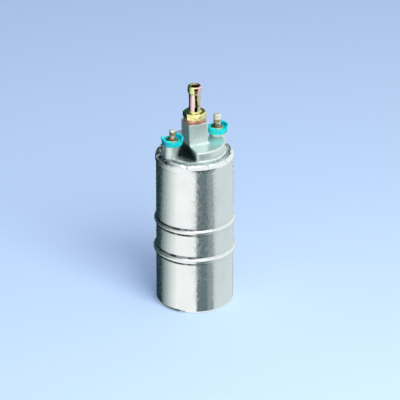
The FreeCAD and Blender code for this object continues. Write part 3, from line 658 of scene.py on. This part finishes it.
def total(material, first, second):
    adding = node(material, "ShaderNodeMath", operation="ADD")
    for socket, value in zip(adding.inputs, (first, second)):
        material.node_tree.links.new(value, socket)
    return adding.outputs["Value"]


def product(material, first, second):
    times = node(material, "ShaderNodeMath", operation="MULTIPLY")
    for socket, value in zip(times.inputs, (first, second)):
        material.node_tree.links.new(value, socket)
    return times.outputs["Value"]


def near_level(material, height, level, reach):
    """Share that is 1 at a level, in millimetres, and falls to 0 at its reach above and below."""
    apart = node(material, "ShaderNodeMath", operation="SUBTRACT")
    material.node_tree.links.new(height, apart.inputs[0])
    apart.inputs[1].default_value = level * mm
    distance = node(material, "ShaderNodeMath", operation="ABSOLUTE")
    material.node_tree.links.new(apart.outputs["Value"], distance.inputs[0])
    return spread(material, distance.outputs["Value"], 0.4 * reach * mm, reach * mm, 1.0, 0.0)


def creases(material, shallow, deep):
    """Share that rises from 0 to 1 down in the inner corners of the mesh."""
    geometry = node(material, "ShaderNodeNewGeometry")
    return spread(material, geometry.outputs["Pointiness"], shallow, deep)


def shelter(material, reach, deep, clear):
    """Share that rises from 0 in the open to 1 in places walled in by the same piece."""
    around = node(material, "ShaderNodeAmbientOcclusion", only_local=True, samples=12)
    around.inputs["Distance"].default_value = reach * mm
    return spread(material, around.outputs["AO"], deep, clear, 1.0, 0.0)


def set_input(material, key, value):
    shader = material.node_tree.nodes["Principled BSDF"]
    material.node_tree.links.new(value, shader.inputs[key])


def relief(material, *layers):
    """Bump from several (height, depth in millimetres) layers."""
    normal = None
    for height, depth in layers:
        bump = node(material, "ShaderNodeBump")
        bump.inputs["Strength"].default_value = 1.0
        bump.inputs["Distance"].default_value = depth * mm
        material.node_tree.links.new(height, bump.inputs["Height"])
        if normal:
            material.node_tree.links.new(normal, bump.inputs["Normal"])
        normal = bump.outputs["Normal"]
    set_input(material, "Normal", normal)


def zinc_sheet():
    """Bright zinc plating on drawn sheet: glossy ground with matt flecks, with painted shade at the bead
    roots on the left side, in patches on the rim's left side and in the chisel marks.
    """
    material = new_finish("zinc_sheet", (0.88, 0.92, 0.91), 1.0, 0.25)
    flat = place(material)
    cloud = mottle(material, flat, 14.0, 5.0)
    foil = mottle(material, place(material, (1.0, 1.0, 1.5)), 1.2, 6.0, 0.6)
    grain = mottle(material, flat, 0.4, 3.0)
    streak = mottle(material, place(material, (1.0, 1.0, 40.0)), 0.9, 3.0)
    ground = tint(material, cloud, (0.25, (0.85, 0.89, 0.89)), (0.75, (0.95, 0.97, 0.96)))
    flecks = tint(material, foil, (0.35, (0.70, 0.75, 0.77)), (0.55, (1.0, 1.0, 1.0)))
    clean = blend(material, 0.15, ground, flecks, "MULTIPLY")
    height = along(material, "Z")
    # Painted shade: dark lines in the concave bead roots, mostly on the left side and broken up by noise.
    rings = None
    for level, width, _ in beads:
        for root in (level + width / 2 + 0.1, level - width / 2 - 0.1):
            ring = near_level(material, height, root, 1.15)
            rings = total(material, rings, ring) if rings else ring
    one_side = spread(material, along(material, "X"), -4 * mm, 9 * mm, 1.0, 0.10)
    broken = spread(material, mottle(material, flat, 5.0, 3.0), 0.40, 0.52, 0.70, 1.0)
    # Painted shade: dark patches along the rim on its left side.
    rim_side = spread(material, along(material, "X"), -13 * mm, -19 * mm)
    rim_spots = spread(material, mottle(material, flat, 2.6, 4.0), 0.42, 0.54, 0.0, 0.8)
    rim = near_level(material, height, can_height, 4.2)
    rim = product(material, rim, product(material, rim_side, rim_spots))
    # Painted shade: dark in the inner corners of the chisel marks near the rim.
    marks = product(material, near_level(material, height, can_height, 6.0), creases(material, 0.46, 0.38))
    painted_shade = product(material, rings, product(material, one_side, broken))
    painted_shade = total(material, painted_shade, total(material, rim, marks))
    set_input(material, "Base Color", blend(material, painted_shade, clean, (0.015, 0.025, 0.025, 1.0)))
    set_input(material, "Roughness", spread(material, foil, 0.36, 0.64, 0.14, 0.34))
    relief(material, (foil, 0.020), (grain, 0.003), (streak, 0.003))
    return material


def cast_aluminium():
    """Satin die casting with a fine sandy skin and soft flow marks, with painted shade in its inner corners,
    in sheltered places on its left side and on the seat beside the boss.
    """
    material = new_finish("cast_aluminium", (0.74, 0.78, 0.76), 0.90, 0.36)
    flat = place(material)
    cloud = mottle(material, flat, 7.0, 4.0)
    skin = mottle(material, flat, 0.9, 6.0, 0.4)
    grain = mottle(material, flat, 0.3, 3.0)
    clean = tint(material, cloud, (0.3, (0.76, 0.88, 0.85)), (0.72, (0.86, 0.96, 0.92)))
    speckle = spread(material, skin, 0.36, 0.50, 0.25, 0.0)
    clean = blend(material, speckle, clean, (0.34, 0.46, 0.44, 1.0))
    # Painted shade: darker in the inner corners of the mesh.
    shade = creases(material, 0.495, 0.45)
    across, height = along(material, "X"), along(material, "Z")
    # Painted shade: dark in sheltered places on the left side, most of all below the plateau's top.
    left = spread(material, across, 5 * mm, -1 * mm)
    below = spread(material, height, plateau_top * mm, (plateau_top - 0.8) * mm, 0.25, 1.0)
    painted_shade = product(material, shelter(material, 14.0, 0.45, 0.85), product(material, left, below))
    # Painted shadow: a pool of shade on the seat between the boss and the plateau, broken up by noise.
    right_of_boss = spread(material, across, -10 * mm, -6 * mm)
    beside_boss = product(material, right_of_boss, spread(material, across, 4 * mm, 0.0))
    shade_patches = spread(material, skin, 0.35, 0.60, 0.95, 0.55)
    seat_level = near_level(material, height, seat_top, 1.0)
    seat_shadow = product(material, seat_level, product(material, beside_boss, shade_patches))
    painted_shade = total(material, painted_shade, seat_shadow)
    corner_shaded = blend(material, shade, clean, (0.12, 0.17, 0.17, 1.0))
    set_input(material, "Base Color", blend(material, painted_shade, corner_shaded, (0.02, 0.05, 0.05, 1.0)))
    set_input(material, "Roughness", spread(material, skin, 0.3, 0.7, 0.36, 0.54))
    relief(material, (skin, 0.11), (grain, 0.02))
    return material


def turquoise_plastic():
    """Semi-gloss moulding with faint flow streaks, and painted shade in deep blue where the piece walls
    itself in, as in the collar's well.
    """
    material = new_finish("turquoise_plastic", (0.0, 0.72, 0.70), 0.0, 0.3)
    flat = place(material)
    cloud = mottle(material, flat, 4.0, 3.0)
    skin = mottle(material, flat, 0.5, 3.0)
    open_colour = tint(material, cloud, (0.3, (0.0, 0.62, 0.66)), (0.7, (0.01, 0.98, 0.80)))
    # Painted shade: deep blue in places walled in by the same piece.
    deep = shelter(material, 5.0, 0.40, 0.80)
    set_input(material, "Base Color", blend(material, deep, open_colour, (0.0, 0.14, 0.42, 1.0)))
    set_input(material, "Roughness", spread(material, skin, 0.3, 0.7, 0.24, 0.38))
    relief(material, (skin, 0.01))
    return material


def plated_stud():
    """Zinc plating with a dull yellow-green passivation in darker and lighter bands along its height, with
    painted shade down in the thread and a painted highlight that leaves the tip pale and matt."""
    material = new_finish("plated_stud", (0.72, 0.70, 0.52), 1.0, 0.3)
    flat = place(material)
    bands = mottle(material, place(material, (5.0, 5.0, 1.0)), 1.7, 2.0)
    grain = mottle(material, flat, 0.2, 3.0)
    clean = tint(material, bands, (0.38, (0.24, 0.23, 0.12)), (0.50, (0.56, 0.50, 0.32)),
                 (0.62, (0.90, 0.88, 0.72)))
    # Painted highlight: the tip is pale and less metallic, standing in for the bright glint at its end.
    tip = spread(material, along(material, "Z"), (stud_tip - 1.9) * mm, (stud_tip - 1.2) * mm, 0.0, 0.85)
    clean = blend(material, tip, clean, (0.92, 0.92, 0.80, 1.0))
    set_input(material, "Metallic", spread(material, tip, 0.0, 0.85, 1.0, 0.45))
    # Painted shade: darker down in the thread's grooves.
    groove = creases(material, 0.50, 0.42)
    set_input(material, "Base Color", blend(material, groove, clean, (0.22, 0.20, 0.10, 1.0)))
    set_input(material, "Roughness", spread(material, grain, 0.3, 0.7, 0.24, 0.40))
    relief(material, (grain, 0.006))
    return material


def yellow_zinc():
    """Yellow passivated zinc. The tube goes from rose through straw and a painted dark reflection stripe to
    tan across its width, the barb from yellow-green to rose, and the hexagon is yellow with brown stains."""
    material = new_finish("yellow_zinc", (0.86, 0.80, 0.42), 1.0, 0.2)
    wander = mottle(material, place(material, (1.0, 1.0, 2.5)), 2.2, 3.0, 0.8)
    drift = spread(material, wander, 0.3, 0.7, -0.14, 0.14)
    across = total(material, spread(material, along(material, "X"), -3.6 * mm, 3.6 * mm), drift)
    # The near-black stops at 0.62 and 0.72 are a painted reflection: the dark stripe down the tube.
    tube = tint(material, across, (0.05, (0.90, 0.60, 0.60)), (0.28, (0.98, 0.62, 0.72)),
                (0.48, (0.98, 0.97, 0.70)), (0.62, (0.07, 0.06, 0.03)), (0.72, (0.09, 0.08, 0.04)),
                (0.88, (0.86, 0.68, 0.42)))
    barb = tint(material, across, (0.10, (0.60, 0.72, 0.32)), (0.34, (0.86, 0.97, 0.46)),
                (0.58, (0.70, 0.42, 0.22)), (0.74, (0.97, 0.66, 0.64)))
    stain = mottle(material, place(material), 2.4, 4.0, 0.5)
    flats = tint(material, stain, (0.30, (0.46, 0.32, 0.12)), (0.42, (0.80, 0.72, 0.30)),
                 (0.60, (0.95, 0.96, 0.46)))
    height = along(material, "Z")
    tube_start = (fitting_top - tube_length + stained_foot) * mm
    barb_start = (fitting_top - barb_length) * mm
    upper = blend(material, spread(material, height, barb_start, barb_start + 0.5 * mm), tube, barb)
    above_hexagon = spread(material, height, tube_start, tube_start + 0.6 * mm)
    set_input(material, "Base Color", blend(material, above_hexagon, flats, upper))
    fine = mottle(material, place(material), 0.5, 3.0)
    set_input(material, "Roughness", spread(material, fine, 0.3, 0.7, 0.05, 0.12))
    relief(material, (fine, 0.006))
    return material


def copper():
    """Annealed copper, a little tarnished."""
    material = new_finish("copper", (0.80, 0.46, 0.36), 1.0, 0.35)
    flat = place(material)
    cloud = mottle(material, flat, 2.5, 4.0)
    fine = mottle(material, flat, 0.3, 3.0)
    tarnish = tint(material, cloud, (0.3, (0.62, 0.27, 0.18)), (0.7, (0.84, 0.46, 0.35)))
    set_input(material, "Base Color", tarnish)
    set_input(material, "Roughness", spread(material, fine, 0.3, 0.7, 0.28, 0.46))
    relief(material, (fine, 0.01))
    return material


def plain_metal(name, dark, light, rough, spot=3.0, grain_depth=0.008, stretch=(1.0, 1.0, 1.0)):
    """Metal with soft colour clouds and a fine grain, for the pump's inner parts."""
    material = new_finish(name, light, 1.0, rough)
    vector = place(material, stretch)
    cloud = mottle(material, vector, spot, 4.0)
    fine = mottle(material, vector, 0.3, 3.0)
    set_input(material, "Base Color", tint(material, cloud, (0.3, dark), (0.7, light)))
    set_input(material, "Roughness", spread(material, fine, 0.3, 0.7, rough * 0.75, rough * 1.25))
    relief(material, (fine, grain_depth))
    return material


def plain_moulding(name, dark, light, rough, spot=2.0, grain_depth=0.02):
    """Plastic, rubber, ferrite or carbon with a fine speckle."""
    material = plain_metal(name, dark, light, rough, spot, grain_depth)
    material.node_tree.nodes["Principled BSDF"].inputs["Metallic"].default_value = 0.0
    return material


finishes = {
    "zinc_plated_steel": zinc_sheet(),
    "cast_aluminium": cast_aluminium(),
    "turquoise_plastic": turquoise_plastic(),
    "plated_stud": plated_stud(),
    "yellow_zinc_steel": yellow_zinc(),
    "copper": copper(),
    "hardened_steel": plain_metal("ground_steel", (0.42, 0.43, 0.45), (0.62, 0.63, 0.65), 0.22),
    "spring_steel": plain_metal("spring_steel", (0.34, 0.35, 0.37), (0.52, 0.53, 0.55), 0.3),
    "screw_steel": plain_metal("black_oxide", (0.10, 0.10, 0.11), (0.20, 0.20, 0.21), 0.4),
    "sintered_bronze": plain_metal("sintered_bronze", (0.40, 0.26, 0.12), (0.62, 0.46, 0.26), 0.5, 0.8, 0.03),
    "core_steel": plain_metal("lamination_steel", (0.26, 0.27, 0.29), (0.44, 0.45, 0.47), 0.4, 3.0, 0.03,
                              (30.0, 30.0, 1.0)),
    "strap_brass": plain_metal("strap_brass", (0.60, 0.44, 0.18), (0.78, 0.64, 0.32), 0.28),
    "ferrite": plain_moulding("ferrite", (0.05, 0.05, 0.055), (0.12, 0.12, 0.125), 0.6, 1.2, 0.03),
    "dark_plastic": plain_moulding("dark_plastic", (0.02, 0.02, 0.022), (0.05, 0.05, 0.055), 0.5),
    "carbon": plain_moulding("pressed_carbon", (0.03, 0.03, 0.03), (0.08, 0.08, 0.08), 0.65, 0.6, 0.03),
    "seal_rubber": plain_moulding("seal_rubber", (0.01, 0.01, 0.01), (0.03, 0.03, 0.03), 0.55),
}


slot_of = {part["node"]: part["material_slot"] for part in frame["record"]["subparts"]}


def dress_nodes():
    for name, slot_name in slot_of.items():
        obj = frame["nodes"][name]
        for index in range(len(obj.material_slots)):
            obj.material_slots[index].material = finishes[slot_name]


def fit(obj, slot_name, replaced):
    """A finished piece: its finish, the node it stands for and the body that carries it."""
    obj.data.materials.clear()
    obj.data.materials.append(finishes[slot_name])
    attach(obj, "pump_body")
    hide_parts(replaced)


def fit_spring(node):
    """A coil spring in the space of its node, finished, fitted to the body and given a mesh of its own."""
    coil = coil_spring(node)
    fit(coil, slot_of[node], node)
    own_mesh(coil)


dress_nodes()
fit(pump_can(), "zinc_plated_steel", "housing_can")
fit(casting("end_cover", "outlet_end_cover"), "cast_aluminium", "end_cover")
fit(fitting(), "yellow_zinc_steel", "outlet_fitting")
fit(washer(), "copper", "sealing_washer")
for side in ("minus", "plus"):
    fit(collar(side), "turquoise_plastic", "terminal_collar_" + side)
    fit(stud(side), "plated_stud", "terminal_stud_" + side)
for joint in frame["record"]["behaviour"]["joints"]:
    for spring in joint.get("deforming_nodes", []):
        fit_spring(spring["node"])


# Studio: pale floor, soft light, and toned cards on the floor that only gloss can see

def pale_floor():
    clear_selection()
    bpy.ops.mesh.primitive_plane_add(size=8.0, location=(0.0, 0.0, 0.0))
    floor = bpy.context.object
    floor.name = "floor"
    material = bpy.data.materials.new("pale_floor")
    material.use_nodes = True
    tree = material.node_tree
    shader = tree.nodes["Principled BSDF"]
    shader.inputs["Roughness"].default_value = 0.9
    shader.inputs["Specular IOR Level"].default_value = 0.0
    glow = tree.nodes.new("ShaderNodeEmission")
    glow.inputs["Color"].default_value = (1.0, 1.0, 1.0, 1.0)
    path = tree.nodes.new("ShaderNodeLightPath")
    colours = tree.nodes.new("ShaderNodeValToRGB")
    colours.color_ramp.elements[0].color = (0.14, 0.21, 0.32, 1.0)
    colours.color_ramp.elements[1].color = (0.62, 0.79, 0.96, 1.0)
    tree.links.new(path.outputs["Is Camera Ray"], colours.inputs["Fac"])
    tree.links.new(colours.outputs["Color"], shader.inputs["Base Color"])
    mix = tree.nodes.new("ShaderNodeMixShader")
    tree.links.new(path.outputs["Is Glossy Ray"], mix.inputs["Fac"])
    tree.links.new(shader.outputs["BSDF"], mix.inputs[1])
    tree.links.new(glow.outputs["Emission"], mix.inputs[2])
    tree.links.new(mix.outputs["Shader"], tree.nodes["Material Output"].inputs["Surface"])
    floor.data.materials.append(material)


def floor_card(name, start, end, near, far, colour):
    """Toned card on the floor that only reflections see, between two directions in which the can's
    wall mirrors the floor. Directions run left to right from the camera."""
    foot = can_radius + 0.3
    points = []
    for step in range(13):
        seen = start + (end - start) * step / 12
        x, y = polar(foot, seen / 2 - 90)
        points.append((x, y, *polar(1.0, seen - 90)))
    outline = [(x + near * dx, y + near * dy) for x, y, dx, dy in points]
    outline += [(x + far * dx, y + far * dy) for x, y, dx, dy in reversed(points)]
    level = foot_card_level if near < 0 else far_card_level if near > 0 else card_level
    card = prism(name, outline, level, level + card_thickness)
    material = bpy.data.materials.new(name)
    material.use_nodes = True
    tree = material.node_tree
    glow = tree.nodes.new("ShaderNodeEmission")
    glow.inputs["Color"].default_value = (*colour, 1.0)
    tree.links.new(glow.outputs["Emission"], tree.nodes["Material Output"].inputs["Surface"])
    card.data.materials.append(material)
    card.visible_camera = False
    card.visible_diffuse = False
    card.visible_shadow = False
    card.visible_transmission = False


# First and last direction, nearest and farthest distance from the can's foot, and colour
floor_tones = (
    (-178.0, -118.0, 0.0, 1500.0, (0.012, 0.034, 0.042)),
    (-118.0, -106.0, 0.0, 450.0, (0.16, 0.23, 0.23)),
    (-106.0, -92.0, 0.0, 450.0, (0.34, 0.40, 0.40)),
    (-92.0, -78.0, 0.0, 450.0, (0.55, 0.60, 0.60)),
    (-78.0, -62.0, 0.0, 450.0, (0.78, 0.82, 0.82)),
    (-118.0, -94.0, 262.0, 1500.0, (0.008, 0.010, 0.010)),
    (-160.0, -48.0, -2.0, 1.6, (0.030, 0.060, 0.070)),
    (-48.0, -30.0, -2.0, 1.0, (0.400, 0.460, 0.470)),
    (5.0, 40.0, 0.0, 255.0, (0.130, 0.180, 0.190)),
    (40.0, 60.0, 0.0, 238.0, (0.260, 0.320, 0.340)),
    (-6.0, 41.0, 255.0, 1500.0, (0.006, 0.008, 0.006)),
    (41.0, 62.0, 262.0, 1500.0, (0.030, 0.032, 0.020)),
    (60.0, 164.0, 0.0, 450.0, (0.66, 0.73, 0.75)),
    (164.0, 178.0, 0.0, 450.0, (0.25, 0.32, 0.34)),
)


def soft_lamp(name, azimuth, elevation, distance, size, power, mirrored):
    """Square soft box that faces the pump. Azimuth runs left to right from the camera."""
    turn, tilt = math.radians(azimuth), math.radians(elevation)
    direction = Vector((math.sin(turn) * math.cos(tilt), -math.cos(turn) * math.cos(tilt), math.sin(tilt)))
    lamp = bpy.data.lights.new(name, "AREA")
    lamp.shape = "SQUARE"
    lamp.size = size
    lamp.energy = power
    obj = bpy.data.objects.new(name, lamp)
    bpy.context.collection.objects.link(obj)
    obj.location = direction * distance + Vector(aim) * mm
    obj.rotation_mode = "QUATERNION"
    obj.rotation_quaternion = (-direction).to_track_quat("-Z", "Y")
    obj.visible_glossy = mirrored


def studio_world():
    """Soft light all round, deep blue from the camera's left. Gloss sees a sky that is dark behind the pump
    and low on that side, and pale in front and above."""
    world = bpy.data.worlds.new("studio")
    bpy.context.scene.world = world
    world.use_nodes = True
    tree = world.node_tree
    background = tree.nodes["Background"]
    background.inputs["Strength"].default_value = 0.50
    coordinates = tree.nodes.new("ShaderNodeTexCoord")
    axes = tree.nodes.new("ShaderNodeSeparateXYZ")
    tree.links.new(coordinates.outputs["Generated"], axes.inputs["Vector"])
    shares = []
    for axis, start, end in (("Z", 0.62, 0.92), ("Y", -0.10, -0.55), ("X", 0.0, 0.50), ("X", -0.50, 0.45)):
        span = tree.nodes.new("ShaderNodeMapRange")
        span.inputs["From Min"].default_value = start
        span.inputs["From Max"].default_value = end
        tree.links.new(axes.outputs[axis], span.inputs["Value"])
        shares.append(span.outputs["Result"])
    most = shares[0]
    for share in shares[1:3]:
        larger = tree.nodes.new("ShaderNodeMath")
        larger.operation = "MAXIMUM"
        tree.links.new(most, larger.inputs[0])
        tree.links.new(share, larger.inputs[1])
        most = larger.outputs["Value"]
    sky = tree.nodes.new("ShaderNodeValToRGB")
    sky.color_ramp.elements[0].color = (0.03, 0.07, 0.08, 1.0)
    sky.color_ramp.elements[1].color = (0.96, 0.99, 1.00, 1.0)
    tree.links.new(most, sky.inputs["Fac"])
    seen = tree.nodes.new("ShaderNodeBackground")
    tree.links.new(sky.outputs["Color"], seen.inputs["Color"])
    sides = tree.nodes.new("ShaderNodeValToRGB")
    sides.color_ramp.elements[0].color = (0.03, 0.18, 0.78, 1.0)
    sides.color_ramp.elements[1].color = (1.0, 1.0, 1.0, 1.0)
    tree.links.new(shares[3], sides.inputs["Fac"])
    tree.links.new(sides.outputs["Color"], background.inputs["Color"])
    path = tree.nodes.new("ShaderNodeLightPath")
    mix = tree.nodes.new("ShaderNodeMixShader")
    tree.links.new(path.outputs["Is Glossy Ray"], mix.inputs["Fac"])
    tree.links.new(background.outputs["Background"], mix.inputs[1])
    tree.links.new(seen.outputs["Background"], mix.inputs[2])
    tree.links.new(mix.outputs["Shader"], tree.nodes["World Output"].inputs["Surface"])


def studio_camera():
    tilt = math.radians(view_elevation)
    direction = Vector((0.0, -math.cos(tilt), math.sin(tilt)))
    data = bpy.data.cameras.new("camera")
    data.sensor_width = 36.0
    data.lens = data.sensor_width * view_distance / view_width
    data.clip_start = 0.05
    data.clip_end = 50.0
    camera = bpy.data.objects.new("camera", data)
    bpy.context.collection.objects.link(camera)
    camera.location = (Vector(aim) + direction * view_distance) * mm
    camera.rotation_mode = "QUATERNION"
    camera.rotation_quaternion = (-direction).to_track_quat("-Z", "Y")
    bpy.context.scene.camera = camera


pale_floor()
for index, tone in enumerate(floor_tones):
    floor_card("floor_card_%d" % index, *tone)
soft_lamp("key", 28.0, 40.0, 1.2, 0.8, 13.0, False)
soft_lamp("fill", -25.0, 40.0, 1.5, 1.0, 1.0, False)
soft_lamp("top", 0.0, 85.0, 1.4, 0.9, 4.0, True)
studio_world()
studio_camera()
bpy.context.scene.view_settings.view_transform = "Standard"
